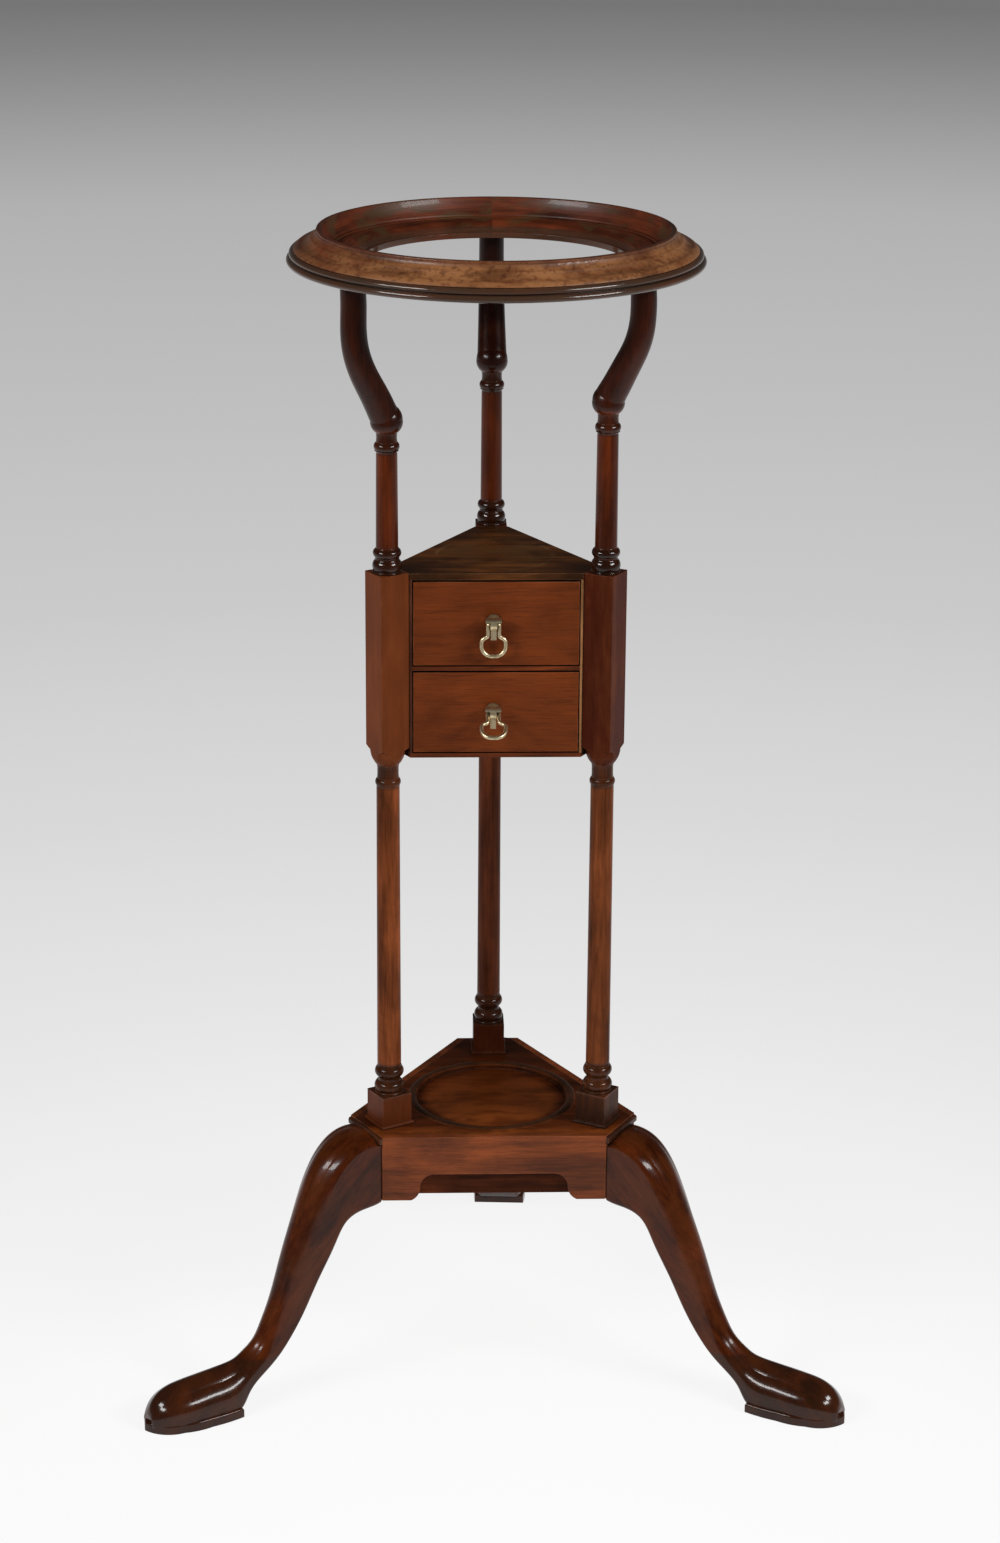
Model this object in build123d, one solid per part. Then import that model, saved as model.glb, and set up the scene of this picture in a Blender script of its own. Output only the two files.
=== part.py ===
from build123d import *
import math
import os

os.makedirs("parts", exist_ok=True)

# Sizes are in millimetres and angles in degrees. The origin is on the floor under the
# middle of the stand, Z is up, and the drawers open towards -Y.

# Plan
post_angles = {"left": 210, "right": 330, "rear": 90}
post_axis_radius = 84
post_size = 21.5
quarter_turn = 90
half_turn = 180
half_corner = 30

# Levels
base_height = 188.2
lower_stage_height = 270.4
upper_stage_height = 199.5

# Clearances
glue_gap = 0.1
stop_gap = 0.5
swing_gap = 0.15
overrun = 5

# Ring
ring_radius = 138.6
ring_throat_radius = 86.7
ring_height = 23
ring_shares = [
    (0.000, 0.000, 0.00),
    (0.928, 0.000, 0.00),
    (0.960, 0.008, 0.10),
    (0.960, 0.200, 0.42),
    (0.937, 0.212, 0.00),
    (0.917, 0.385, 0.42),
    (0.890, 0.392, 0.00),
    (0.905, 0.405, 0.00),
    (0.805, 0.548, 0.15),
    (0.692, 0.730, -0.12),
    (0.678, 0.748, 0.00),
    (0.618, 0.913, -0.15),
    (0.611, 0.913, 0.00),
    (0.611, 0.974, 0.00),
    (0.597, 1.000, 0.20),
    (0.557, 1.000, 0.00),
    (0.545, 0.974, 0.20),
    (0.449, 0.530, -0.06),
    (0.441, 0.487, 0.00),
    (0.395, 0.470, 0.00),
    (0.387, 0.443, 0.00),
    (0.073, 0.165, 0.20),
    (0.000, 0.165, 0.00),
]

# Uprights over the case
upper_pin_radius = 5
upper_pin_length = 20
upper_collar_radius = 9.9
upper_collar_height = 17.5
upper_column_foot_radius = 7.5
upper_column_top_radius = 7.1
upper_column_height = 76.2
upper_column_foot_bulge_share = -0.2
upper_neck_radius = 7.6
upper_neck_height = 14.1
knuckle_radius = 10.7
knuckle_height = 8.7
knuckle_bulge_share = 0.15
quarter_bulge_share = 0.207
arm_root_radius = 10.2
arm_top_radius = 8.5
arm_lean = 28
arm_lean_length = 35
arm_bend_radius = 67
arm_stations = 9
arm_tenon_radius = 4.5
arm_tenon_length = 6
knuckle_drops = {"left": 12.7, "right": 0, "rear": 0}
upper_collar_shares = [
    (0.970, 0.000, 0.00),
    (0.970, 0.069, 0.30),
    (0.909, 0.086, 0.00),
    (0.919, 0.097, 0.00),
    (0.909, 0.457, 0.14),
    (0.828, 0.589, -0.15),
    (0.818, 0.611, 0.00),
    (0.818, 0.931, 0.26),
    (0.798, 0.949, 0.00),
]
upper_neck_shares = [
    (1.060, 0.142, -0.20),
    (1.000, 0.156, 0.00),
    (1.000, 0.518, 0.20),
    (0.940, 0.553, 0.00),
    (0.940, 1.000, -0.04),
]

# Uprights under the case
lower_pin_radius = 6
lower_pin_length = 25
plinth_size = 22.4
plinth_height = 23
plinth_bead_height = 2
plinth_bead_width = 1.5
plinth_bead_round = 1.2
lower_collar_radius = 9.9
lower_collar_height = 22
lower_column_foot_radius = 8.3
lower_column_top_radius = 7.9
lower_column_foot_bulge_share = -0.1
lower_neck_radius = 8.3
lower_neck_height = 16.2
shoulder_height = 12
shoulder_foot_radius = 8.2
shoulder_step_radius = 12
shoulder_step_height = 9.8
shoulder_bulge_share = 0.08
shoulder_drop = 4.9
lower_collar_shares = [
    (0.980, 0.000, 0.00),
    (0.980, 0.055, 0.25),
    (0.900, 0.068, 0.00),
    (0.900, 0.380, 0.22),
    (0.800, 0.395, 0.00),
    (0.790, 0.510, -0.12),
    (0.850, 0.560, 0.00),
    (0.850, 0.880, 0.24),
    (0.880, 0.900, 0.00),
]
lower_neck_shares = [
    (0.930, 0.015, 0.00),
    (0.930, 0.330, 0.20),
    (0.900, 0.350, 0.00),
    (0.880, 0.700, -0.02),
    (0.960, 1.000, -0.06),
]

# Case
drawer_opening_heights = {"upper": 60.2, "lower": 58.4}
case_bottom_thickness = 3
divider_thickness = 2.8
case_top_thickness = 4.5
case_side_thickness = 5
case_proud = 0.8
stile_width = 1.3
stile_depth = 10
stop_width = 16
stop_depth = 6
stop_height = 8

# Drawers
drawer_back_room = 21.6
drawer_front_thickness = 8
drawer_front_inset = 0.4
drawer_side_gap = 0.8
drawer_floor_gap = 0.4
drawer_front_raise = 0.5
drawer_head_gap = 1.4
drawer_side_thickness = 4
drawer_side_setback = 1
drawer_side_drop = 6
drawer_back_gap = 4.4
drawer_back_thickness = 4
drawer_bottom_thickness = 3
drawer_bottom_raise = 4

# Pulls
pull_offset = -2
pull_raise = 1.8
pull_standoff = 7
pull_head_radius = 4.2
pull_head_length = 10.6
pull_eye_length = 4.4
pull_neck_radius = 2.1
pull_collar_radius = 4.8
pull_collar_thickness = 1.2
pull_shank_radius = 2
pull_shank_tail = 1
pull_tongue_width = 3.8
pull_tongue_depth = 2.6
pull_tongue_length = 10.8
pull_nut_size = 8
pull_nut_thickness = 3
pull_wire_radius = 1.4
pull_ring_half_width = 8.1
pull_ring_drop = 22.4
pull_ring_neck_drop = 8.8
pull_ring_shoulder_drop = 10.8
pull_pin_reach = 1.6
pull_elbow_radius = 1.5
pull_neck_bend_radius = 2
pull_shoulder_bend_radius = 4
pull_bottom_bend_radius = 7.2
pull_swing_angles = {"upper": 0, "lower": 60}

# Base
base_side_ledge = 11.15
base_corner_ledge = 5.8
base_top_thickness = 10
base_core_height = 35.2
apron_thickness = 5
apron_depth = 48.2
arch_height = 19.8
arch_foot_inset = 19.85
arch_waist_inset = 26.15
arch_top_inset = 34.65
arch_waist_share = 0.5
arch_foot_bulge_share = 0.15
arch_top_bulge_share = 0.18
dish_radius = 53.5
dish_depth = 3
dish_bead_width = 5.9
dish_bead_height = 1.2
corner_moulding_width = 2
corner_moulding_height = 4.2
corner_moulding_step = 1.2
corner_moulding_face_share = 0.4
corner_moulding_slope_share = 0.6
corner_moulding_bulge_share = 0.2

# Legs
leg_top_drop = 5.2
leg_reach = 177.5
leg_root_width = 42
leg_crown_share = 0.55
leg_shoulder_share = 0.72
leg_corner_share = 0.09
leg_corner_bulge_share = 0.2
leg_side_bulge_share = 0.12
leg_skews = {"left": 0, "right": 0, "rear": -3.5}
leg_tenon_length = 20
leg_tenon_width = 16
leg_tenon_height = 14
leg_tenon_raise = 3
leg_knee_swells = {"left": 6, "right": 0, "rear": 0}
leg_station_shares = [
    (-0.011, 0.754, -0.011, 1.000, 1.00, 0.90, 0.3),
    (0.076, 0.732, 0.104, 0.992, 0.95, 0.86, 0.7),
    (0.138, 0.705, 0.194, 0.925, 0.89, 0.75, 1.0),
    (0.169, 0.661, 0.254, 0.834, 0.83, 0.65, 1.0),
    (0.200, 0.592, 0.310, 0.716, 0.77, 0.58, 0.7),
    (0.265, 0.470, 0.378, 0.553, 0.69, 0.52, 0.4),
    (0.324, 0.349, 0.435, 0.402, 0.61, 0.48, 0.2),
    (0.386, 0.249, 0.484, 0.301, 0.56, 0.45, 0.1),
    (0.448, 0.179, 0.521, 0.244, 0.57, 0.42, 0.0),
    (0.510, 0.131, 0.563, 0.210, 0.60, 0.38, 0.0),
    (0.572, 0.079, 0.604, 0.188, 0.67, 0.35, 0.0),
    (0.623, 0.022, 0.664, 0.178, 0.81, 0.35, 0.0),
    (0.730, 0.022, 0.745, 0.170, 0.87, 0.35, 0.0),
    (0.820, 0.022, 0.830, 0.162, 0.88, 0.35, 0.0),
    (0.899, 0.022, 0.906, 0.146, 0.79, 0.38, 0.0),
    (0.950, 0.022, 0.955, 0.112, 0.60, 0.40, 0.0),
    (0.984, 0.022, 0.984, 0.062, 0.34, 0.40, 0.0),
]
sole_height = 7
sole_round = 2
sole_half_width = 20
sole_shares = [
    (0.620, 0.950, 0.00),
    (0.760, 1.000, 0.03),
    (0.876, 0.880, 0.06),
    (1.000, 0.000, 0.16),
]

# Worked out from the sizes above
post_inner_distance = post_axis_radius - post_size / 2
corner_sine = math.sin(math.radians(half_corner))
corner_cosine = math.cos(math.radians(half_corner))
post_corner_distance = post_inner_distance * corner_sine + post_size / 2 * corner_cosine
case_face = post_corner_distance + case_proud
case_front_reach = (post_inner_distance - case_face * corner_sine) / corner_cosine
opening_half_width = case_front_reach - stile_width
face_angles = {
    "front": post_angles["rear"] + half_turn,
    "left": post_angles["right"] - half_turn,
    "right": post_angles["left"] - half_turn,
}
case_floor = base_height + lower_stage_height
lower_opening_floor = case_floor + case_bottom_thickness
divider_floor = lower_opening_floor + drawer_opening_heights["lower"]
upper_opening_floor = divider_floor + divider_thickness
case_top_floor = upper_opening_floor + drawer_opening_heights["upper"]
case_ceiling = case_top_floor + case_top_thickness
ring_floor = case_ceiling + upper_stage_height
opening_floors = {"upper": upper_opening_floor, "lower": lower_opening_floor}
plinth_reach = plinth_size / 2 + plinth_bead_width
plinth_side_distance = post_axis_radius * corner_sine + plinth_reach * (corner_sine + corner_cosine)
base_face = plinth_side_distance + base_side_ledge
base_clip = post_axis_radius + plinth_reach + base_corner_ledge
apron_reach = (base_clip - base_face * corner_sine) / corner_cosine
arch_foot_half_width = apron_reach - arch_foot_inset
arch_waist_half_width = apron_reach - arch_waist_inset
arch_top_half_width = apron_reach - arch_top_inset
core_floor = base_height - base_top_thickness - base_core_height
leg_height = base_height - leg_top_drop
leg_tenon_floor = core_floor + leg_tenon_raise
apron_floor = base_height - apron_depth
arm_lean_reach = arm_lean_length * math.sin(math.radians(arm_lean))
arm_lean_rise = arm_lean_length * math.cos(math.radians(arm_lean))
arm_bend_reach = arm_bend_radius * (1 - math.cos(math.radians(arm_lean)))
arm_bend_rise = arm_bend_radius * math.sin(math.radians(arm_lean))
arm_reach = arm_lean_reach + arm_bend_reach
drawer_face = case_face - drawer_front_inset
drawer_box_start = drawer_front_thickness - drawer_face
drawer_box_end = post_inner_distance - drawer_back_room
case_inner_face = case_face - case_side_thickness
drawer_back_reach = (case_inner_face - drawer_box_end * corner_sine) / corner_cosine
drawer_back_half_width = drawer_back_reach - drawer_back_gap
drawer_box_depth = drawer_box_end - drawer_box_start
drawer_front_half_width = opening_half_width - drawer_side_gap
drawer_box_half_width = drawer_front_half_width - drawer_side_setback
drawer_front_heights = {
    drawer: height - drawer_floor_gap - drawer_front_raise - drawer_head_gap
    for drawer, height in drawer_opening_heights.items()
}
pull_arm_offset = pull_eye_length / 2 + swing_gap + pull_wire_radius


# Helpers


def stretch(start, end):
    """Line or arc to the point end, whose third value is its bulge as a share of its length:
    above 0 it swells to the right of its direction, below 0 it hollows."""
    first = Vector(start[0], start[1])
    last = Vector(end[0], end[1])
    if end[2] == 0:
        return Line(first, last)
    across = Vector(last.Y - first.Y, first.X - last.X)
    return ThreePointArc(first, (first + last) / 2 + across * end[2], last)


def outline(points):
    """Closed face through points that run anticlockwise, each with its bulge."""
    edges = []
    previous = points[-1]
    for point in points:
        edges.append(stretch(previous, point))
        previous = point
    return make_face(edges)


def turned(points):
    """Turned piece round Z, from its half section in radius and height."""
    return revolve(Plane.XZ * outline(points), Axis.Z)


def scaled(shares, radius, height, floor):
    """Points of a turned profile from their shares of a radius and a height."""
    return [(radius * r, floor + height * h, bulge) for r, h, bulge in shares]


def plan_point(outward, sideways, angle):
    """Point in plan at a distance out from the axis in a direction, and sideways from it."""
    return Vector(outward, sideways).rotate(Axis.Z, angle)


def slab(points, floor, thickness):
    """Flat board with an outline in plan."""
    face = make_face(Polyline(*points, close=True))
    return Pos(0, 0, floor) * extrude(face, thickness, dir=(0, 0, 1))


def clipped_triangle(face_distance, clip_distance):
    """Outline of a triangle whose corners are cut off square to the posts."""
    half_clip = (2 * face_distance - clip_distance) * corner_sine / corner_cosine
    points = []
    for angle in post_angles.values():
        points.append(plan_point(clip_distance, -half_clip, angle))
        points.append(plan_point(clip_distance, half_clip, angle))
    return points


def clipped_reach(distance, clip_distance):
    """Half the length of a line along one face, out to the cut corners."""
    return (clip_distance - distance * corner_sine) / corner_cosine


def face_strip(face_distance, thickness, clip_distance, angle):
    """Outline of a board that lies along one face of the clipped triangle."""
    inner_distance = face_distance - thickness
    outer_reach = clipped_reach(face_distance, clip_distance)
    inner_reach = clipped_reach(inner_distance, clip_distance)
    return [
        plan_point(face_distance, -outer_reach, angle),
        plan_point(face_distance, outer_reach, angle),
        plan_point(inner_distance, inner_reach, angle),
        plan_point(inner_distance, -inner_reach, angle),
    ]


def upright_cylinder(radius, height, floor):
    """Cylinder round Z that stands on a level."""
    return Pos(0, 0, floor) * Cylinder(radius, height, align=(Align.CENTER, Align.CENTER, Align.MIN))


def upright_block(length, width, height, floor):
    """Block centred on Z that stands on a level."""
    standing = (Align.CENTER, Align.CENTER, Align.MIN)
    return Pos(0, 0, floor) * Box(length, width, height, align=standing)


def at_post(piece, angle):
    """Move a piece from the origin to the axis of a post, its X pointing outward."""
    return Rot(0, 0, angle) * Pos(post_axis_radius, 0, 0) * piece


def mirrored(points):
    """The same outline on the other side of the middle, again anticlockwise."""
    return [(-x, y) for x, y in reversed(points)]


# Ring


def ring():
    """Turned ring with a dished inside, and a mortise for each arm."""
    width = ring_radius - ring_throat_radius
    points = [
        (ring_throat_radius + width * across, ring_floor + ring_height * up, bulge)
        for across, up, bulge in ring_shares
    ]
    body = turned(points)
    mortise = upright_cylinder(arm_tenon_radius + glue_gap, arm_tenon_length + glue_gap, ring_floor)
    for angle in post_angles.values():
        body -= at_post(Pos(arm_reach, 0, 0) * mortise, angle)
    return body


# Uprights


def arm(knuckle_level):
    """Round arm that leans outward from the knuckle and bends up under the ring."""
    root = Vector(0, 0, knuckle_level)
    bend_start = root + Vector(arm_lean_reach, 0, arm_lean_rise)
    bend_end = bend_start + Vector(arm_bend_reach, 0, arm_bend_rise)
    top = Vector(arm_reach, 0, ring_floor)
    lean = Line(root, bend_start)
    bend = TangentArc(bend_start, bend_end, tangent=lean % 1)
    rise = Line(bend_end, top)
    centre_line = Wire([lean, bend, rise])
    sections = []
    for station in range(arm_stations):
        along = station / (arm_stations - 1)
        radius = arm_top_radius + (arm_root_radius - arm_top_radius) * (1 - along) ** 2
        place = Plane(centre_line @ along, x_dir=(0, 1, 0), z_dir=centre_line % along)
        sections.append(place * Circle(radius))
    tenon = Pos(arm_reach, 0, 0) * upright_cylinder(arm_tenon_radius, arm_tenon_length, ring_floor)
    return loft(sections) + tenon


def upper_upright(drop):
    """Column over the case with its collar, neck, knuckle and arm."""
    column_foot = case_ceiling + upper_collar_height
    column_top = column_foot + upper_column_height - drop
    neck_top = column_top + upper_neck_height
    knuckle_level = neck_top + knuckle_height
    points = [
        (0, case_ceiling - upper_pin_length, 0),
        (upper_pin_radius, case_ceiling - upper_pin_length, 0),
        (upper_pin_radius, case_ceiling, 0),
    ]
    points += scaled(upper_collar_shares, upper_collar_radius, upper_collar_height, case_ceiling)
    points.append((upper_column_foot_radius, column_foot, upper_column_foot_bulge_share))
    points.append((upper_column_top_radius, column_top, 0))
    points += scaled(upper_neck_shares, upper_neck_radius, upper_neck_height, column_top)
    points.append((knuckle_radius, knuckle_level, knuckle_bulge_share))
    points.append((0, knuckle_level + knuckle_radius, quarter_bulge_share))
    return turned(points) + arm(knuckle_level)


def lower_upright():
    """Column from the base to the top of the case: pin, plinth, turned column and square post."""
    plinth_top = base_height + plinth_height
    column_foot = plinth_top + lower_collar_height
    post_floor = case_floor - shoulder_drop
    post_height = case_ceiling - post_floor
    column_top = post_floor - lower_neck_height
    half_diagonal = post_size / 2 * math.sqrt(2)
    bead_size = plinth_size + 2 * plinth_bead_width
    points = [(0, plinth_top, 0)]
    points += scaled(lower_collar_shares, lower_collar_radius, lower_collar_height, plinth_top)
    points.append((lower_column_foot_radius, column_foot, lower_column_foot_bulge_share))
    points.append((lower_column_top_radius, column_top, 0))
    points += scaled(lower_neck_shares, lower_neck_radius, lower_neck_height, column_top)
    points.append((0, post_floor, 0))
    shoulder = turned([
        (0, post_floor, 0),
        (shoulder_foot_radius, post_floor, 0),
        (shoulder_step_radius, post_floor + shoulder_step_height, shoulder_bulge_share),
        (half_diagonal + glue_gap, post_floor + shoulder_height, 0),
        (half_diagonal + glue_gap, case_ceiling, 0),
        (0, case_ceiling, 0),
    ])
    bead = upright_block(bead_size, bead_size, plinth_bead_height, base_height)
    bead = fillet(bead.edges().group_by(Axis.Z)[-1], plinth_bead_round)
    post = upright_block(post_size, post_size, post_height, post_floor) & shoulder
    post -= upright_cylinder(upper_pin_radius + glue_gap, upper_pin_length, case_ceiling - upper_pin_length)
    body = upright_cylinder(lower_pin_radius, lower_pin_length, base_height - lower_pin_length)
    body += upright_block(plinth_size, plinth_size, plinth_height, base_height)
    body += bead
    body += turned(points)
    body += post
    return body


# Case


def case_board(floor, thickness):
    """Board that fills the case between the posts."""
    return slab(clipped_triangle(case_face, post_inner_distance), floor, thickness)


def case_side(name):
    """Side of the case between two posts, from the bottom board to the top board."""
    strip = face_strip(case_face, case_side_thickness, post_inner_distance, face_angles[name])
    return slab(strip, lower_opening_floor, case_top_floor - lower_opening_floor)


def case_stile(side):
    """Narrow strip beside the drawer openings, on the left (-1) or the right (1)."""
    inner_distance = case_face - stile_depth
    points = [
        (opening_half_width, -case_face),
        (clipped_reach(case_face, post_inner_distance), -case_face),
        (clipped_reach(inner_distance, post_inner_distance), -inner_distance),
        (opening_half_width, -inner_distance),
    ]
    if side < 0:
        points = mirrored(points)
    return slab(points, lower_opening_floor, case_top_floor - lower_opening_floor)


def divider(uprights):
    """Board between the two drawers, let in between the sides and the stiles."""
    board = case_board(divider_floor, divider_thickness)
    for upright in uprights:
        board -= upright
    return board


def drawer_stops():
    """One block behind each drawer, on the board that the drawer runs on."""
    middle = drawer_box_end + stop_gap + stop_depth / 2
    blocks = [
        Pos(0, middle, 0) * upright_block(stop_width, stop_depth, stop_height, floor)
        for floor in opening_floors.values()
    ]
    return Compound(children=blocks)


# Drawers


def drawer_half_width(depth_share):
    """Half the outer width of the drawer box, at a share of its depth behind the front."""
    return drawer_box_half_width + (drawer_back_half_width - drawer_box_half_width) * depth_share


def drawer_wall_width():
    """Width of a slanting side board, measured straight across the drawer."""
    taper = math.atan2(drawer_box_half_width - drawer_back_half_width, drawer_box_depth)
    return drawer_side_thickness / math.cos(taper)


def drawer_front(floor, height, place):
    """Front board, a little above the foot of the sides and bored for the pull."""
    width = 2 * drawer_front_half_width
    board = upright_block(width, drawer_front_thickness, height, floor + drawer_front_raise)
    board = Pos(0, drawer_front_thickness / 2 - drawer_face, 0) * board
    bore = Cylinder(pull_shank_radius + glue_gap, 2 * drawer_front_thickness)
    return board - place * Pos(0, pull_standoff, 0) * Rot(quarter_turn, 0, 0) * bore


def drawer_side(floor, height, side):
    """Slanting side board, on the left (-1) or the right (1)."""
    wall = drawer_wall_width()
    points = [
        (drawer_half_width(0), drawer_box_start),
        (drawer_half_width(1), drawer_box_end),
        (drawer_half_width(1) - wall, drawer_box_end),
        (drawer_half_width(0) - wall, drawer_box_start),
    ]
    if side < 0:
        points = mirrored(points)
    return slab(points, floor, height)


def drawer_across(floor, thickness, start, end):
    """Board between the two sides, from a start to an end in depth."""
    wall = drawer_wall_width()
    start_reach = drawer_half_width((start - drawer_box_start) / drawer_box_depth) - wall
    end_reach = drawer_half_width((end - drawer_box_start) / drawer_box_depth) - wall
    points = [(-start_reach, start), (start_reach, start), (end_reach, end), (-end_reach, end)]
    return slab(points, floor, thickness)


def drawer_boards(floor, height, place):
    """The five boards of one drawer, whose front has a height and a place for its pull."""
    back_start = drawer_box_end - drawer_back_thickness
    bottom_floor = floor + drawer_bottom_raise
    side_height = height - drawer_side_drop
    return {
        "front": drawer_front(floor, height, place),
        "side_left": drawer_side(floor, side_height, -1),
        "side_right": drawer_side(floor, side_height, 1),
        "back": drawer_across(floor, side_height, back_start, drawer_box_end),
        "bottom": drawer_across(bottom_floor, drawer_bottom_thickness, drawer_box_start, back_start),
    }


# Pulls


def pull_pocket(side):
    """Room for one end of the ring under the hood of the head, left (-1) or right (1)."""
    reach = pull_head_radius + overrun
    width = pull_head_length / 2
    room = pull_wire_radius + 2 * swing_gap
    low = Pos(0, 0, -reach / 2) * Box(width, 2 * reach, reach)
    front = Pos(0, (room - reach) / 2, room / 2) * Box(width, room + reach, room)
    return Pos(side * (pull_eye_length + width) / 2, 0, 0) * (low + front)


def pull_post():
    """Brass post: a hooded head with a hanging tongue, a neck, a collar and a shank."""
    shank_length = drawer_front_thickness + pull_nut_thickness + pull_shank_tail
    away = Rot(-quarter_turn, 0, 0)
    post = Rot(0, quarter_turn, 0) * Cylinder(pull_head_radius, pull_head_length)
    post -= [pull_pocket(-1), pull_pocket(1)]
    post += away * upright_cylinder(pull_neck_radius, pull_standoff, 0)
    collar_start = pull_standoff - pull_collar_thickness
    post += away * upright_cylinder(pull_collar_radius, pull_collar_thickness, collar_start)
    post += away * upright_cylinder(pull_shank_radius, shank_length, pull_standoff)
    post += upright_block(pull_tongue_width, pull_tongue_depth, pull_tongue_length, -pull_tongue_length)
    eye = Rot(0, quarter_turn, 0) * Cylinder(pull_wire_radius + glue_gap, pull_standoff)
    return post - eye


def pull_ring():
    """Bent wire ring that hangs below the post, its two ends turned into the head."""
    half = [
        (pull_arm_offset - pull_pin_reach - pull_wire_radius, 0),
        (pull_arm_offset, 0),
        (pull_arm_offset, -pull_ring_neck_drop),
        (pull_ring_half_width, -pull_ring_shoulder_drop),
        (pull_ring_half_width, -pull_ring_drop),
    ]
    bends = [
        pull_elbow_radius,
        pull_neck_bend_radius,
        pull_shoulder_bend_radius,
        pull_bottom_bend_radius,
    ]
    corners = half + [(-x, z) for x, z in reversed(half)]
    path = FilletPolyline(*corners, radius=bends + bends[::-1])
    path = Plane.XZ * path
    start = Plane(path @ 0, z_dir=path % 0)
    return sweep(start * Circle(pull_wire_radius), path)


def pull_nut():
    """Square nut on the shank, against the back of the drawer front."""
    middle = pull_standoff + drawer_front_thickness + pull_nut_thickness / 2
    bore = Rot(quarter_turn, 0, 0) * Cylinder(pull_shank_radius + glue_gap / 2, 2 * pull_nut_thickness)
    return Pos(0, middle, 0) * (Box(pull_nut_size, pull_nut_thickness, pull_nut_size) - bore)


# Base


def base_top():
    """Top board of the base with its round dish and the bead round the dish."""
    floor = base_height - base_top_thickness
    inner_face = base_face - apron_thickness
    board = slab(clipped_triangle(inner_face, base_clip), floor, base_top_thickness)
    board -= upright_cylinder(dish_radius, dish_depth, base_height - dish_depth)
    bead = turned([
        (dish_radius, base_height - dish_depth, 0),
        (dish_radius + dish_bead_width, base_height - dish_depth, 0),
        (dish_radius + dish_bead_width, base_height, 0),
        (dish_radius, base_height, dish_bead_height / dish_bead_width),
    ])
    return board + bead - base_bores()


def base_core():
    """Block inside the base that takes the pins of the posts and the tenons of the legs."""
    block = slab(clipped_triangle(base_face - apron_thickness, base_clip), core_floor, base_core_height)
    mortise = upright_block(
        leg_tenon_length + glue_gap,
        leg_tenon_width + 2 * glue_gap,
        leg_tenon_height + 2 * glue_gap,
        leg_tenon_floor - glue_gap,
    )
    middle = base_clip - (leg_tenon_length + glue_gap) / 2
    for angle in post_angles.values():
        block -= Rot(0, 0, angle) * Pos(middle, 0, 0) * mortise
    return block - base_bores()


def base_bores():
    """Holes for the pins of the three lower uprights."""
    bore = upright_cylinder(lower_pin_radius + glue_gap, lower_pin_length, base_height - lower_pin_length)
    return [at_post(bore, angle) for angle in post_angles.values()]


def apron(name):
    """Facing board of the base with a flat arch and curled ends along its lower edge."""
    angle = face_angles[name]
    board = slab(face_strip(base_face, apron_thickness, base_clip, angle), apron_floor, apron_depth)
    waist = apron_floor + arch_height * arch_waist_share
    top = apron_floor + arch_height
    arch = outline([
        (-arch_foot_half_width, apron_floor - overrun, 0),
        (arch_foot_half_width, apron_floor - overrun, 0),
        (arch_foot_half_width, apron_floor, 0),
        (arch_waist_half_width, waist, -arch_foot_bulge_share),
        (arch_top_half_width, top, arch_top_bulge_share),
        (-arch_top_half_width, top, 0),
        (-arch_waist_half_width, waist, arch_top_bulge_share),
        (-arch_foot_half_width, apron_floor, -arch_foot_bulge_share),
    ])
    cutter = extrude(Plane.YZ * arch, apron_thickness + 2 * overrun)
    return board - Rot(0, 0, angle) * Pos(base_face - apron_thickness - overrun, 0, 0) * cutter


def corner_moulding(angle):
    """Moulding over the root of a leg, along the cut corner of the base."""
    floor = base_height - corner_moulding_step - corner_moulding_height
    outer = base_clip + corner_moulding_width
    slope = corner_moulding_width * corner_moulding_slope_share
    length = 2 * (2 * base_face - base_clip) * corner_sine / corner_cosine
    section = outline([
        (base_clip, floor, 0),
        (outer, floor, 0),
        (outer, floor + corner_moulding_height * corner_moulding_face_share, 0),
        (outer - slope, floor + corner_moulding_height, corner_moulding_bulge_share),
        (base_clip, floor + corner_moulding_height, 0),
    ])
    bar = extrude(Plane.XZ * section, length / 2, both=True)
    return Rot(0, 0, angle) * bar


# Legs


def leg_section(inner, outer, width, side_share):
    """Section of a leg between its inner and outer edges: flat sides and a rounded crown."""
    half = width / 2
    depth = (outer - inner).length
    corner = width * leg_corner_share
    side = depth * side_share
    shoulder = side + (depth - side) * leg_shoulder_share
    crown = half * leg_crown_share
    up = (outer - inner).normalized()
    place = Plane(inner, x_dir=(0, 1, 0), z_dir=Vector(0, 1, 0).cross(up))
    points = [
        (corner - half, 0, leg_corner_bulge_share),
        (half - corner, 0, 0),
        (half, corner, leg_corner_bulge_share),
        (half, side, 0),
        (crown, shoulder, leg_side_bulge_share),
        (-crown, shoulder, (depth - shoulder) / (2 * crown)),
        (-half, side, leg_side_bulge_share),
        (-half, corner, 0),
    ]
    return place * outline(points)


def sole():
    """Flat sole under the foot, with a softened upper edge."""
    half = []
    for along, across, bulge in sole_shares:
        half.append((base_clip + leg_reach * along, sole_half_width * across, bulge))
    right = [(x, -y, bulge) for x, y, bulge in half]
    left = []
    for point, following in zip(half[-2::-1], half[:0:-1]):
        left.append((point[0], point[1], following[2]))
    plate = extrude(outline(right + left), sole_height, dir=(0, 0, 1))
    return fillet(plate.edges().group_by(Axis.Z)[-1], sole_round)


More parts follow.
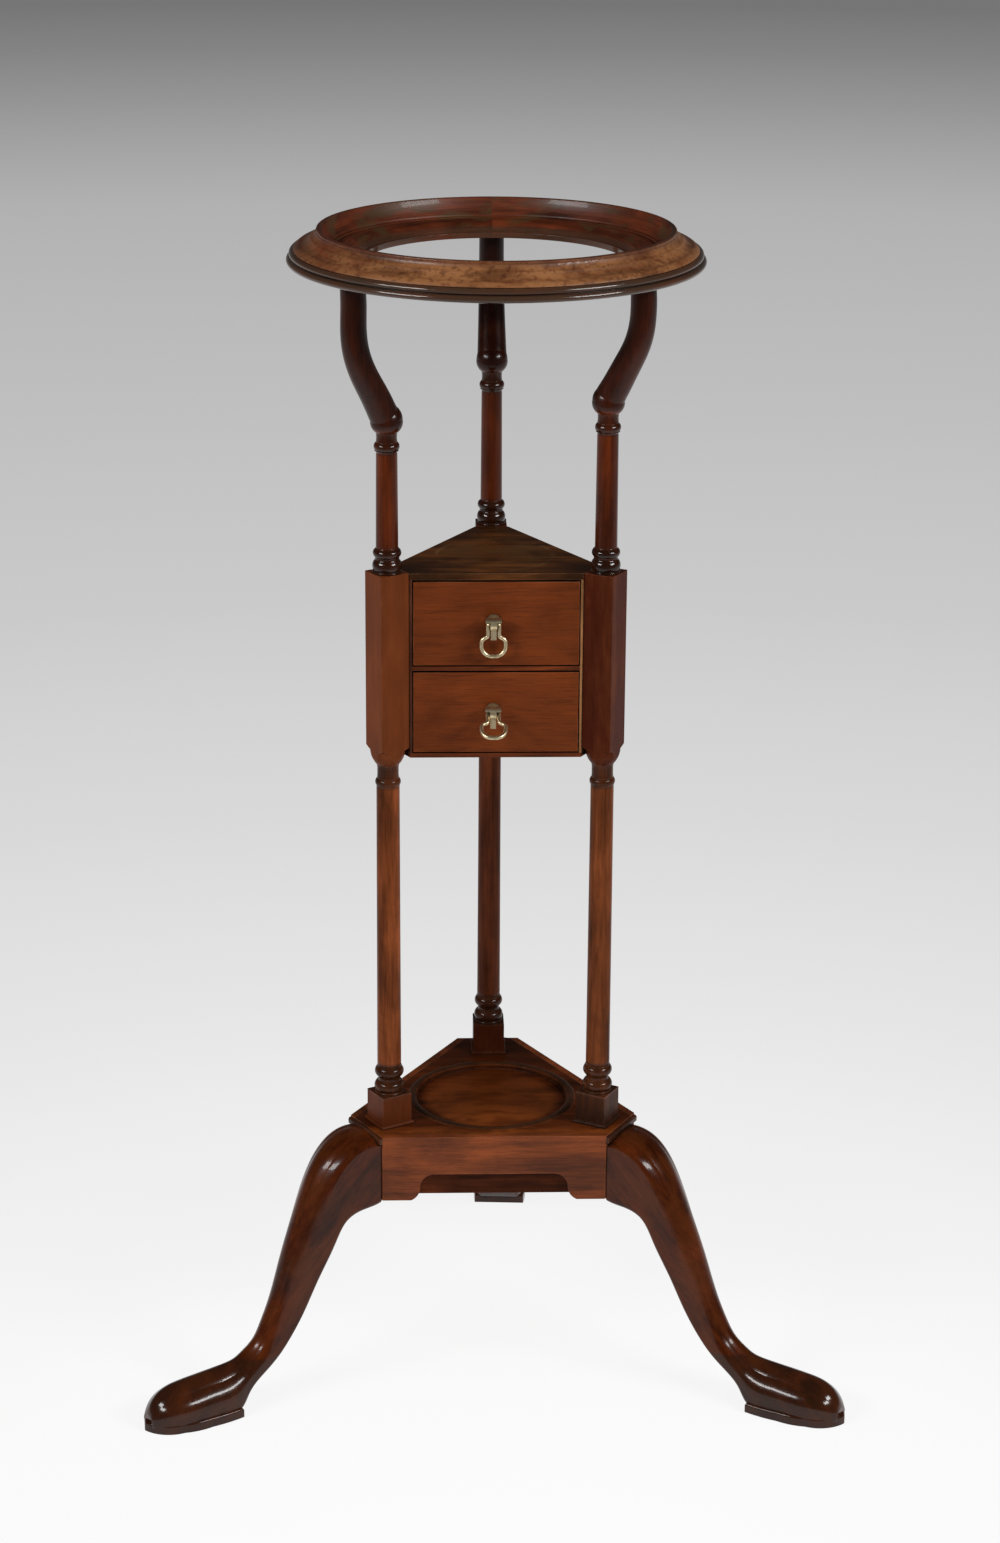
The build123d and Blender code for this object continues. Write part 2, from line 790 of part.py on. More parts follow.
def leg(name):
    """Leg with a pad foot, tenoned into the base, its knee as full as it was carved."""
    angle = post_angles[name]
    sections = []
    for inner_out, inner_up, outer_out, outer_up, width, side, knee in leg_station_shares:
        inner = Vector(base_clip + leg_reach * inner_out, 0, leg_height * inner_up)
        outer = Vector(base_clip + leg_reach * outer_out, 0, leg_height * outer_up)
        outer += (outer - inner).normalized() * leg_knee_swells[name] * knee
        sections.append(leg_section(inner, outer, leg_root_width * width, side))
    body = Rot(0, 0, leg_skews[name]) * (loft(sections) + sole())
    joint_face = upright_block(base_clip, 2 * base_clip, base_height, 0)
    body -= Pos(base_clip / 2, 0, 0) * joint_face
    body -= corner_moulding(0)
    tenon = upright_block(leg_tenon_length + overrun, leg_tenon_width, leg_tenon_height, leg_tenon_floor)
    body += Pos(base_clip + (overrun - leg_tenon_length) / 2, 0, 0) * tenon
    return Rot(0, 0, angle) * body


# Assembly


def stand_pieces():
    """Every piece of the fixed stand, by name."""
    sides = {f"case_side_{name}": case_side(name) for name in ("left", "right")}
    stiles = {"case_stile_left": case_stile(-1), "case_stile_right": case_stile(1)}
    pieces = {
        "basin_ring": ring(),
        "case_top": case_board(case_top_floor, case_top_thickness),
        "case_bottom": case_board(case_floor, case_bottom_thickness),
        "drawer_divider": divider([*sides.values(), *stiles.values()]),
        "drawer_stops": drawer_stops(),
        "base_top": base_top(),
        "base_core": base_core(),
    }
    pieces.update(sides)
    pieces.update(stiles)
    post = lower_upright()
    for name, angle in post_angles.items():
        pieces[f"upper_upright_{name}"] = at_post(upper_upright(knuckle_drops[name]), angle)
        pieces[f"lower_upright_{name}"] = at_post(post, angle)
        pieces[f"corner_moulding_{name}"] = corner_moulding(angle)
        pieces[f"leg_{name}"] = leg(name)
    for name in face_angles:
        pieces[f"apron_{name}"] = apron(name)
    return pieces


def drawer_pieces(drawer, opening_floor):
    """Every piece of one drawer and its pull, by name."""
    floor = opening_floor + drawer_floor_gap
    height = drawer_front_heights[drawer]
    pull_level = floor + drawer_front_raise + height / 2 + pull_raise
    place = Pos(pull_offset, -drawer_face - pull_standoff, pull_level)
    boards = drawer_boards(floor, height, place)
    pieces = {f"{drawer}_drawer_{name}": board for name, board in boards.items()}
    pieces[f"{drawer}_pull_post"] = place * pull_post()
    pieces[f"{drawer}_pull_ring"] = place * Rot(-pull_swing_angles[drawer], 0, 0) * pull_ring()
    pieces[f"{drawer}_pull_nut"] = place * pull_nut()
    return pieces


assembly = stand_pieces()
for drawer, opening_floor in opening_floors.items():
    assembly.update(drawer_pieces(drawer, opening_floor))
for name, piece in assembly.items():
    export_step(piece, f"parts/{name}.step")
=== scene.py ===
import math
import bmesh
import bpy
from mathutils import Matrix, Vector

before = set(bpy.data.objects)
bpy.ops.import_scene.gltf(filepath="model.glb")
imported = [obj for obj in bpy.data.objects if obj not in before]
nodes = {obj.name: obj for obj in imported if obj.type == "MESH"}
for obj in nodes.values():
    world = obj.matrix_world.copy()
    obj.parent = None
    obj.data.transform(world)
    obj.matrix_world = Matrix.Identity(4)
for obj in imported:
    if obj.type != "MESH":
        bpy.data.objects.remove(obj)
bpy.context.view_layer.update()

# Lengths are in metres and angles in radians, unless a name says otherwise. Tones are linear.

# Camera, fitted to the photo
camera_place = Vector((-0.0719, -2.3032, 1.2276))
camera_yaw = 0.0332
camera_pitch = 0.3323
camera_roll = 0.0066
focal_length_px = 3528.3
photo_height_px = 1543
sensor_width_mm = 36
clip_near = 0.05
clip_far = 60

# All woods
arris_radius = 0.0007
arris_cosines = (0.995, 0.93)
# Ambient occlusion span of the painted shade in hollows
hollow_shade_air = (0.80, 0.30)
grain_depth = 0.0004
grain_strength = 0.22
patch_scale = 24.0
blotch_scale = 60.0
pore_scale = 1500.0
coat_roughness = 0.08
polished_roughness = 0.13
polished_coat = 0.3

# Both brasses
cloud_scale = 420.0
speck_scale = 2600.0
hollow_air = (0.85, 0.35)
hollow_reach = 0.0025
pitting_depth = 0.0002
pitting_strength = 0.25

# Tones shared by several pieces
red = (0.115, 0.023, 0.004)
orange = (0.135, 0.027, 0.004)
deep = (0.078, 0.013, 0.002)
soot = (0.010, 0.005, 0.003)

# Marks on the uprights and feet: heights, drops below the knuckle and the softness of their ends
upper_collar_foot = 0.585
upper_collar_top = 0.605
knuckle_height = 0.7043
left_knuckle_drop = 0.0127
knuckle_collar_drops = (0.023, 0.009)
arm_start_drop = 0.006
arm_top = 0.80
plinth_foot = 0.180
plinth_top = 0.2105
collar_top = 0.2335
neck_foot = 0.4365
post_foot = 0.4535
post_top = 0.60
foot_heights = (-0.01, 0.036)
band_blend = 0.0015

# Fall of the grain in the legs, for a run of one outward
leg_grain_fall = -1.15

# Marks on the ring: radii from its axis, and the height where the moulding gives way to the beads
ring_grain_radius = 0.11
moulding_radii = (0.1185, 0.1385)
olive_radii = (0.092, 0.116)
lip_radii = (0.080, 0.0925)
bead_radius = 0.131
bead_top = 0.796
bead_blend = 0.0005
ring_speck_scale = 260.0

# Marks on the boards: a fade goes from no mark to the full mark, by radius or from back to front
corner_fade = (0.040, 0.070)
inner_fade = (0.045, 0.035)
pale_ring_radii = (0.0385, 0.0405)
front_fade = (-0.048, -0.066)
dish_fade = (0.050, 0.042)
rear_fade = (0.055, 0.065)
dish_bead_radii = (0.0540, 0.0590)
fine_blend = 0.0008

# Floor, fill light and lamps
floor_radius = 14
floor_segments = 96
floor_drop = 0.0005
# The floor's colour is a painted pool of light centred near the stand, with painted shade on the floor in
# front of it
floor_pool_shift = 0.35
floor_reach = 10.0
front_painted_shade_start = -0.5
front_painted_shade_end = -1.8
front_painted_shade_level = 0.25
shadow_reach = (0.3, 1.6)
shadow_shares = (0.88, 1.0)
fill_strength = 0.14
lamp_aside = 1.9
lamp_ahead = -1.35
lamp_height = 1.7
lamp_aim = (0, 0, 0.5)
lamp_size = (1.2, 0.45)


# Camera
def look(location, yaw, pitch, roll):
    """Camera at a place, turned right by yaw, down by pitch and round its own axis by roll."""
    forward = Vector((math.sin(yaw) * math.cos(pitch), math.cos(yaw) * math.cos(pitch), -math.sin(pitch)))
    level = Vector((math.cos(yaw), -math.sin(yaw), 0))
    raised = level.cross(forward)
    right = level * math.cos(roll) + raised * math.sin(roll)
    upward = raised * math.cos(roll) - level * math.sin(roll)
    data = bpy.data.cameras.new("camera")
    data.sensor_fit = "AUTO"
    data.sensor_width = sensor_width_mm
    data.lens = focal_length_px * sensor_width_mm / photo_height_px
    data.clip_start = clip_near
    data.clip_end = clip_far
    camera = bpy.data.objects.new("camera", data)
    bpy.context.scene.collection.objects.link(camera)
    turn = Matrix((right, upward, -forward)).transposed()
    camera.matrix_world = Matrix.Translation(location) @ turn.to_4x4()
    bpy.context.scene.camera = camera


look(camera_place, camera_yaw, camera_pitch, camera_roll)


# Node trees
class Tree:
    """A material's node tree, built by short calls."""

    def __init__(self, name):
        self.material = bpy.data.materials.new(name)
        self.material.use_nodes = True
        self.nodes = self.material.node_tree.nodes
        self.links = self.material.node_tree.links
        self.nodes.clear()

    def set(self, socket, value):
        if isinstance(value, bpy.types.NodeSocket):
            self.links.new(value, socket)
        else:
            socket.default_value = value

    def add(self, kind, output=0, inputs=None, **settings):
        """A node of a kind with its inputs and settings. Gives one of its outputs."""
        node = self.nodes.new(kind)
        for key, value in settings.items():
            setattr(node, key, value)
        for key, value in (inputs or {}).items():
            self.set(node.inputs[key], value)
        return node.outputs[output]

    def math(self, operation, a, b=0.0, clamp=False):
        return self.add("ShaderNodeMath", 0, {0: a, 1: b}, operation=operation, use_clamp=clamp)

    def times(self, a, b):
        return self.math("MULTIPLY", a, b)

    def span(self, value, low, high, to_low=0.0, to_high=1.0, smooth=False):
        """A value between low and high, mapped to the span between two others and held at its ends."""
        style = "SMOOTHSTEP" if smooth else "LINEAR"
        values = {"Value": value, "From Min": low, "From Max": high, "To Min": to_low, "To Max": to_high}
        return self.add("ShaderNodeMapRange", 0, values, interpolation_type=style)

    def noise(self, vector, scale, detail=3.0, roughness=0.5, distortion=0.0):
        values = {
            "Vector": vector,
            "Scale": scale,
            "Detail": detail,
            "Roughness": roughness,
            "Distortion": distortion,
        }
        return self.add("ShaderNodeTexNoise", 0, values)

    def mix(self, share, a, b, blend="MIX"):
        """Mix of two colours. The node's colours are its inputs 6 and 7 and its output 2."""
        node = self.nodes.new("ShaderNodeMix")
        node.data_type = "RGBA"
        node.blend_type = blend
        self.set(node.inputs[0], share)
        self.set(node.inputs[6], a)
        self.set(node.inputs[7], b)
        return node.outputs[2]

    def ramp(self, value, stops):
        node = self.nodes.new("ShaderNodeValToRGB")
        fill_ramp(node.color_ramp, stops)
        self.set(node.inputs[0], value)
        return node.outputs[0]

    def place(self):
        """The place on the object."""
        return self.add("ShaderNodeTexCoord", "Object")

    def axes(self):
        """X, Y and Z of the place on the object."""
        split = self.nodes.new("ShaderNodeSeparateXYZ")
        self.links.new(self.place(), split.inputs[0])
        return split.outputs

    def distance(self, x, y):
        """Distance from the vertical axis."""
        return self.math("SQRT", self.math("ADD", self.times(x, x), self.times(y, y)))

    def between(self, value, low, high, soft):
        """1 between two values, falling to 0 outside them."""
        rise = self.span(value, low - soft, low + soft, smooth=True)
        return self.math("MINIMUM", rise, self.span(value, high + soft, high - soft, smooth=True))

    def finish(self, shader):
        self.links.new(shader, self.nodes.new("ShaderNodeOutputMaterial").inputs[0])
        return self.material


def fill_ramp(bar, stops):
    while len(bar.elements) < len(stops):
        bar.elements.new(0.5)
    for element, (place, colour) in zip(bar.elements, stops):
        element.position = place
        element.color = rgba(colour)


def rgba(colour):
    return (*colour, 1.0)


def grey(level):
    return (level, level, level)


def shade(colour, factor):
    return tuple(min(1.0, c * factor) for c in colour)


# Coordinates with the grain along their third axis
def straight_grain(tree, grain):
    turn = Vector(grain).normalized().rotation_difference(Vector((0, 0, 1))).to_euler()
    return tree.add("ShaderNodeMapping", 0, {"Vector": tree.place(), "Rotation": turn})


def ring_grain(tree):
    """The grain runs round the ring, from a joint at the back."""
    x, y, z = tree.axes()
    turn = tree.math("ARCTAN2", x, tree.times(y, -1.0))
    values = {0: tree.distance(x, y), 1: z, 2: tree.times(turn, ring_grain_radius)}
    return tree.add("ShaderNodeCombineXYZ", 0, values)


# Wood
def wood(name, tone, grain=(0, 0, 1), coords=None, contrast=1.0, streak=90.0, figure=0.4, hollow_shade_strength=0.85,
         hollow_shade_reach=0.005, wear=0.35, fade=0.0, fade_tone=None, gloss=0.32, coat=0.0, seed=0.0, pores=0.35,
         shine=0.2, hollow_shade_tone=(0.006, 0.004, 0.003), marks=None):
    """Waxed wood: streaks and pores along the grain, patches, painted shade in hollows, arrises paler from
    wear and a painted highlight.
    """
    tree = Tree(name)
    place = coords(tree) if coords else straight_grain(tree, grain)
    shift = (seed, seed * 0.7, seed * 0.3)
    place = tree.add("ShaderNodeVectorMath", 0, {0: place, 1: shift}, operation="ADD")

    def along(share):
        return tree.add("ShaderNodeVectorMath", 0, {0: place, 1: (1, 1, share)}, operation="MULTIPLY")

    streaks = tree.noise(along(0.10), streak, 4.0, 0.6, 0.8)
    lines = tree.noise(along(0.04), streak * 7, 3.0, 0.6, 0.3)
    patches = tree.noise(along(0.6), patch_scale, 4.0, 0.6, 0.5)
    blotches = tree.noise(along(0.5), blotch_scale, 4.0, 0.6, 0.3)
    tone_value = tree.math("ADD", tree.times(streaks, figure), tree.times(patches, 0.8 - figure))
    tone_value = tree.math("ADD", tone_value, tree.times(lines, 0.2))
    spread = 0.10 / contrast
    tone_value = tree.span(tone_value, 0.5 - spread, 0.5 + spread)
    shades = ((0.0, 0.40), (0.35, 0.78), (0.65, 1.14), (1.0, 1.7))
    colour = tree.ramp(tone_value, [(stop, shade(tone, factor)) for stop, factor in shades])
    pore = tree.span(tree.noise(along(0.05), pore_scale, 1.0, 0.5), 0.56, 0.70)
    colour = tree.mix(tree.times(pore, pores), colour, rgba(shade(tone, 0.25)))
    if fade:
        worn = tree.span(blotches, 0.40, 0.62, 0.0, fade, smooth=True)
        colour = tree.mix(worn, colour, rgba(fade_tone))
    polish = None
    if marks:
        colour, polish = marks(tree, colour, blotches)

    round_normal = tree.add("ShaderNodeBevel", 0, {"Radius": arris_radius}, samples=4)
    normals = {0: round_normal, 1: tree.add("ShaderNodeNewGeometry", "Normal")}
    cosine = tree.add("ShaderNodeVectorMath", "Value", normals, operation="DOT_PRODUCT")
    edge = tree.span(cosine, *arris_cosines)
    # Paler arrises: partly real wear, partly a painted highlight along every edge.
    rubbed = tree.times(edge, tree.span(blotches, 0.40, 0.60, 0.15 * wear, wear))
    worn_highlit_arris_tone = shade((tone[0] + 0.06, tone[1] + 0.04, tone[2] + 0.025), 1.7)
    colour = tree.mix(rubbed, colour, rgba(worn_highlit_arris_tone))
    # Painted shade: ambient occlusion darkens hollows, creases and joints toward a dark tone.
    open_air = tree.add("ShaderNodeAmbientOcclusion", "AO", {"Distance": hollow_shade_reach}, samples=6)
    painted_hollow_shade = tree.span(open_air, *hollow_shade_air, 0.0, hollow_shade_strength, smooth=True)
    colour = tree.mix(painted_hollow_shade, colour, rgba(hollow_shade_tone))

    rough = tree.span(patches, 0.3, 0.7, gloss - 0.05, gloss + 0.08)
    rough = tree.math("ADD", rough, tree.times(painted_hollow_shade, 0.2))
    if polish is not None:
        rough = tree.math("SUBTRACT", rough, tree.times(polish, gloss - polished_roughness))
        coat = tree.math("ADD", coat, tree.times(polish, polished_coat))
    height = tree.math("ADD", tree.times(lines, 0.3), tree.times(streaks, 0.8))
    height = tree.math("SUBTRACT", height, tree.times(pore, 0.25))
    relief = {"Strength": grain_strength, "Distance": grain_depth, "Height": height, "Normal": round_normal}
    values = {
        "Base Color": colour,
        "Roughness": rough,
        "Normal": tree.add("ShaderNodeBump", 0, relief),
        "Specular IOR Level": shine,
        "Coat Weight": coat,
        "Coat Roughness": coat_roughness,
    }
    return tree.finish(tree.add("ShaderNodeBsdfPrincipled", 0, values))


# Marks on the wood: each gives the colour and the polish, or None where nothing is polished
def bands(*rows):
    """Marks between heights: each row has its two heights, its strength, its tone and its polish."""
    def marks(tree, colour, blotches):
        z = tree.axes()[2]
        polish = 0.0
        for low, high, strength, tone, shiny in rows:
            here = tree.between(z, low, high, band_blend)
            uneven = tree.span(blotches, 0.35, 0.62, strength, strength * 0.7)
            colour = tree.mix(tree.times(here, uneven), colour, rgba(tone))
            polish = tree.math("MAXIMUM", polish, tree.times(here, shiny))
        return colour, polish
    return marks


def ring_marks(tree, colour, blotches):
    """Golden-brown rubbed moulding, most at the front right, olive patches, dark polished beads and lip."""
    golden = (0.300, 0.125, 0.045)
    olive = (0.060, 0.034, 0.011)
    brown_black = (0.050, 0.032, 0.020)
    x, y, z = tree.axes()
    out = tree.distance(x, y)
    side = tree.math("DIVIDE", tree.math("SUBTRACT", tree.times(x, 0.5), y), out)
    specks = tree.noise(tree.place(), ring_speck_scale, 3.0, 0.6)
    over_beads = tree.span(z, bead_top - bead_blend, bead_top + bead_blend)
    rubbed = tree.times(tree.between(out, *moulding_radii, 0.002), over_beads)
    rubbed = tree.times(rubbed, tree.span(side, -0.7, 0.8, 0.3, 1.0, smooth=True))
    rubbed = tree.times(rubbed, tree.span(blotches, 0.36, 0.58, 0.35, 1.0, smooth=True))
    rubbed = tree.times(rubbed, tree.span(specks, 0.36, 0.52, 0.45, 1.0, smooth=True))
    colour = tree.mix(rubbed, colour, rgba(golden))
    dulled = tree.span(blotches, 0.50, 0.62, 0.0, 0.7, smooth=True)
    dulled = tree.times(tree.between(out, *olive_radii, 0.003), dulled)
    colour = tree.mix(dulled, colour, rgba(olive))
    outer = tree.span(out, bead_radius - bead_blend, bead_radius + bead_blend)
    under_moulding = tree.span(z, bead_top + bead_blend, bead_top - bead_blend)
    beads = tree.times(outer, under_moulding)
    lip = tree.between(out, *lip_radii, 0.001)
    dark = tree.math("MAXIMUM", beads, tree.times(lip, 0.7))
    dark = tree.times(dark, tree.span(blotches, 0.35, 0.65, 0.95, 0.6))
    return tree.mix(dark, colour, rgba(brown_black)), tree.math("MAXIMUM", beads, lip)


def stain(tree, colour, blotches):
    """Faint pale ring on the top board, browner inside it, and darker toward the three corners."""
    corner_tone = (0.020, 0.007, 0.002)
    inner_tone = (0.110, 0.046, 0.012)
    pale_tone = (0.190, 0.110, 0.040)
    out = tree.distance(*tree.axes()[:2])
    corner = tree.span(out, *corner_fade, smooth=True)
    corner = tree.times(corner, tree.span(blotches, 0.35, 0.62, 0.9, 0.5))
    colour = tree.mix(corner, colour, rgba(corner_tone))
    inner = tree.span(out, *inner_fade, smooth=True)
    inner = tree.times(inner, tree.span(blotches, 0.40, 0.62, 0.0, 0.7))
    colour = tree.mix(inner, colour, rgba(inner_tone))
    pale = tree.between(out, *pale_ring_radii, fine_blend)
    pale = tree.times(pale, tree.span(blotches, 0.42, 0.58, 0.0, 0.5))
    return tree.mix(pale, colour, rgba(pale_tone)), None


def dish_marks(tree, colour, blotches):
    """Orange wear in the dish and along the front of the base, a dark bead and a darker back corner."""
    warm_tone = (0.210, 0.050, 0.008)
    rear_tone = (0.022, 0.005, 0.001)
    bead_tone = (0.022, 0.014, 0.008)
    x, y = tree.axes()[:2]
    out = tree.distance(x, y)
    front = tree.span(y, *front_fade, smooth=True)
    dish = tree.times(tree.span(out, *dish_fade, smooth=True), tree.span(y, 0.03, -0.03, 0.35, 0.8))
    warm = tree.span(blotches, 0.38, 0.60, 0.3, 1.0, smooth=True)
    warm = tree.times(tree.math("MAXIMUM", front, dish), warm)
    colour = tree.mix(warm, colour, rgba(warm_tone))
    rear = tree.times(tree.span(y, 0.02, 0.09, 0.0, 0.7), tree.span(out, *rear_fade))
    colour = tree.mix(rear, colour, rgba(rear_tone))
    bead = tree.between(out, *dish_bead_radii, fine_blend)
    return tree.mix(tree.times(bead, 0.65), colour, rgba(bead_tone)), tree.times(bead, 0.6)


# Brass
def brass(name, tone, tarnish, rough):
    """Old brass: bright where it is handled, olive and brown in the hollows."""
    tree = Tree(name)
    place = tree.place()
    clouds = tree.noise(place, cloud_scale, 4.0, 0.6)
    specks = tree.noise(place, speck_scale, 2.0, 0.6)
    open_air = tree.add("ShaderNodeAmbientOcclusion", "AO", {"Distance": hollow_reach}, samples=6)
    hollow = tree.span(open_air, *hollow_air, smooth=True)
    cloudy = tree.span(clouds, 0.42, 0.66, 0.0, 0.6)
    old = tree.math("ADD", cloudy, tree.times(hollow, 0.8), clamp=True)
    colour = tree.mix(old, rgba(tone), rgba(tarnish))
    colour = tree.mix(tree.span(specks, 0.6, 0.75, 0.0, 0.4), colour, rgba(shade(tarnish, 0.5)))
    pitting = {"Strength": pitting_strength, "Distance": pitting_depth, "Height": clouds}
    values = {
        "Base Color": colour,
        "Metallic": 1.0,
        "Roughness": tree.math("ADD", tree.times(old, 0.25), rough),
        "Normal": tree.add("ShaderNodeBump", 0, pitting),
    }
    return tree.finish(tree.add("ShaderNodeBsdfPrincipled", 0, values))


def dress(material, *names):
    """Give a material to CAD nodes."""
    for name in names:
        slots = nodes[name].material_slots
        if slots:
            slots[0].material = material
        else:
            nodes[name].data.materials.append(material)


# The pieces
def dress_ring():
    ring = wood("ring_wood", (0.085, 0.016, 0.004), coords=ring_grain, streak=120, hollow_shade_reach=0.003,
                gloss=0.40, coat=0.08, wear=0.5, contrast=1.2, shine=0.3, marks=ring_marks)
    dress(ring, "basin_ring")


def dress_upper_uprights():
    """Dark collars, arms near black from their finish and partly from painted shade under the ring, and a
    darker upright at the rear.
    """
    # Near-black arms: their dark finish, and partly painted shade under the ring.
    dark_shaded_arm_tone = (0.010, 0.002, 0.001)
    rows = (("left", left_knuckle_drop, 1.0, 1.3), ("right", 0, 1.0, 2.1), ("rear", 0, 0.7, 3.7))
    for name, drop, factor, seed in rows:
        knuckle = knuckle_height - drop
        collar_low, collar_high = (knuckle - below for below in knuckle_collar_drops)
        dark = bands((upper_collar_foot, upper_collar_top, 0.85, soot, 0.8),
                     (collar_low, collar_high, 0.75, soot, 0.6),
                     (knuckle - arm_start_drop, arm_top, 0.90, dark_shaded_arm_tone, 0.1))
        upright = wood("upper_upright_wood_" + name, shade(deep, factor), seed=seed, gloss=0.28,
                       coat=0.15, shine=0.15, marks=dark)
        dress(upright, "upper_upright_" + name)


def dress_lower_uprights():
    """Each row has the tones of the column, of its square post and of its plinth."""
    rows = (("left", (0.165, 0.042, 0.012), (0.130, 0.030, 0.007), (0.085, 0.018, 0.005), 6.3),
            ("right", (0.150, 0.040, 0.012), (0.046, 0.005, 0.001), (0.022, 0.010, 0.006), 7.1),
            ("rear", (0.070, 0.017, 0.006), (0.060, 0.012, 0.003), (0.030, 0.006, 0.002), 8.7))
    for name, tone, post, plinth, seed in rows:
        marks = bands((plinth_foot, plinth_top, 0.95, plinth, 0.0),
                      (plinth_top, collar_top, 0.85, soot, 0.8),
                      (neck_foot, post_foot, 0.8, soot, 0.5),
                      (post_foot, post_top, 0.9, post, 0.0))
        upright = wood("lower_upright_wood_" + name, tone, seed=seed, gloss=0.34, shine=0.06, marks=marks)
        dress(upright, "lower_upright_" + name)


def dress_legs():
    """The grain follows each leg outward and down."""
    for name, degrees, seed in (("left", 210, 0.4), ("right", 330, 1.9), ("rear", 90, 3.1)):
        turn = math.radians(degrees)
        grain = (math.cos(turn), math.sin(turn), leg_grain_fall)
        dark = bands((*foot_heights, 0.7, (0.020, 0.009, 0.005), 0.5))
        leg = wood("leg_wood_" + name, (0.060, 0.011, 0.002), grain=grain, seed=seed, streak=70, gloss=0.22,
                   coat=0.2, shine=0.12, fade=0.35, fade_tone=(0.120, 0.030, 0.006), marks=dark)
        dress(leg, "leg_" + name)


def dress_case():
    top = wood("top_board_wood", (0.080, 0.026, 0.006), grain=(1, 0, 0.05), seed=0.8, gloss=0.42,
               contrast=1.3, wear=1.0, shine=0.1, marks=stain)
    dress(top, "case_top")
    dress(wood("case_wood", red, grain=(1, 0, 0), seed=1.4), "case_bottom", "drawer_divider")
    dress(wood("case_side_wood_left", red, grain=(0.5, 0.866, 0), seed=2.2), "case_side_left")
    dress(wood("case_side_wood_right", red, grain=(-0.5, 0.866, 0), seed=2.9), "case_side_right")
    dress(wood("stile_wood_left", (0.080, 0.018, 0.006), seed=3.3, wear=0.8), "case_stile_left")
    dress(wood("stile_wood_right", (0.250, 0.110, 0.040), seed=3.6, wear=0.8), "case_stile_right")


def dress_drawer_fronts():
    rows = (("upper", (1, 0, 0.02), orange, 4.1), ("lower", (1, 0, -0.02), shade(orange, 1.12), 4.9))
    for drawer, grain, tone, seed in rows:
        front = wood(drawer + "_front_wood", tone, grain=grain, seed=seed, contrast=0.42, streak=160,
                     figure=0.3, gloss=0.42, wear=1.0, shine=0.15, hollow_shade_strength=0.9)
        dress(front, drawer + "_drawer_front")


def dress_base():
    board = wood("base_board_wood", (0.060, 0.012, 0.002), grain=(1, 0, 0), seed=5.6, gloss=0.34,
                 contrast=1.3, wear=0.9, shine=0.12, marks=dish_marks)
    dress(board, "base_top")
    dress(wood("core_wood", (0.075, 0.017, 0.005), grain=(1, 0, 0), seed=6.2, shine=0.05), "base_core")
    for name, degrees, seed in (("front", 0, 6.9), ("left", -60, 7.4), ("right", 60, 8.3)):
        turn = math.radians(degrees)
        grain = (math.cos(turn), math.sin(turn), 0)
        apron = wood("apron_wood_" + name, (0.150, 0.034, 0.008), grain=grain, seed=seed, figure=0.3,
                     gloss=0.38, wear=0.9, contrast=0.9)
        dress(apron, "apron_" + name)
    moulding = wood("moulding_wood", (0.060, 0.018, 0.007), grain=(1, 0, 0), seed=9.1, wear=0.8)
    dress(moulding, *["corner_moulding_" + corner for corner in ("left", "right", "rear")])


def dress_insides_and_pulls():
    lining = wood("lining_wood", (0.34, 0.21, 0.10), grain=(0, 1, 0), contrast=0.4, figure=0.7, hollow_shade_strength=0.5,
                  wear=0.1, gloss=0.55, pores=0.25, hollow_shade_tone=(0.06, 0.035, 0.02))
    dress(lining, "drawer_stops")
    for drawer in ("upper", "lower"):
        boards = ("side_left", "side_right", "back", "bottom")
        dress(lining, *[f"{drawer}_drawer_{board}" for board in boards])
        old_brass = brass(drawer + "_brass", (0.75, 0.62, 0.40), (0.24, 0.18, 0.085), 0.34)
        dress(old_brass, *[f"{drawer}_pull_{piece}" for piece in ("post", "ring", "nut")])


dress_ring()
dress_upper_uprights()
dress_lower_uprights()
dress_legs()
dress_case()
dress_drawer_fronts()
dress_base()
dress_insides_and_pulls()


# Studio
def floor_material():
    """Pale floor with a painted pool of light that falls off away from the stand and painted shade in front
    of it; it keeps the stand's shadow.
    """
    tree = Tree("floor_paint")
    shift = {0: tree.place(), 1: (0, floor_pool_shift, 0)}
    place = tree.add("ShaderNodeVectorMath", 0, shift, operation="ADD")
    away = tree.add("ShaderNodeVectorMath", "Value", {0: place}, operation="LENGTH")
    # Painted pool of light: the floor is brightest by the stand and darkens outward.
    levels = ((0.08, 1.0), (0.40, 0.98), (0.57, 0.93), (0.97, 0.81), (1.51, 0.69), (2.26, 0.59),
              (3.34, 0.52), (5.1, 0.44), (6.5, 0.30), (7.4, 0.23), (8.4, 0.18))
    stops = [(radius / floor_reach, grey(level)) for radius, level in levels]
    colour = tree.ramp(tree.math("DIVIDE", away, floor_reach), stops)
    # Painted shade on the floor in front of the stand.
    front_painted_shade = tree.span(tree.axes()[1], front_painted_shade_start, front_painted_shade_end, 1.0, front_painted_shade_level, smooth=True)
    front_painted_shade_colour = tree.add("ShaderNodeCombineXYZ", 0, {0: front_painted_shade, 1: front_painted_shade, 2: front_painted_shade})
    colour = tree.mix(1.0, colour, front_painted_shade_colour, "MULTIPLY")
    seen = tree.nodes.new("ShaderNodeLightPath").outputs
    shown = tree.math("MAXIMUM", seen["Is Camera Ray"], seen["Is Glossy Ray"])
    shown = tree.math("MAXIMUM", shown, seen["Is Transmission Ray"])
    glow = tree.add("ShaderNodeEmission", 0, {"Color": colour, "Strength": shown})
    paint = tree.add("ShaderNodeBsdfDiffuse", 0, {"Color": colour})
    share = tree.times(shown, tree.span(away, *shadow_reach, *shadow_shares))
    return tree.finish(tree.add("ShaderNodeMixShader", 0, {0: share, 1: paint, 2: glow}))


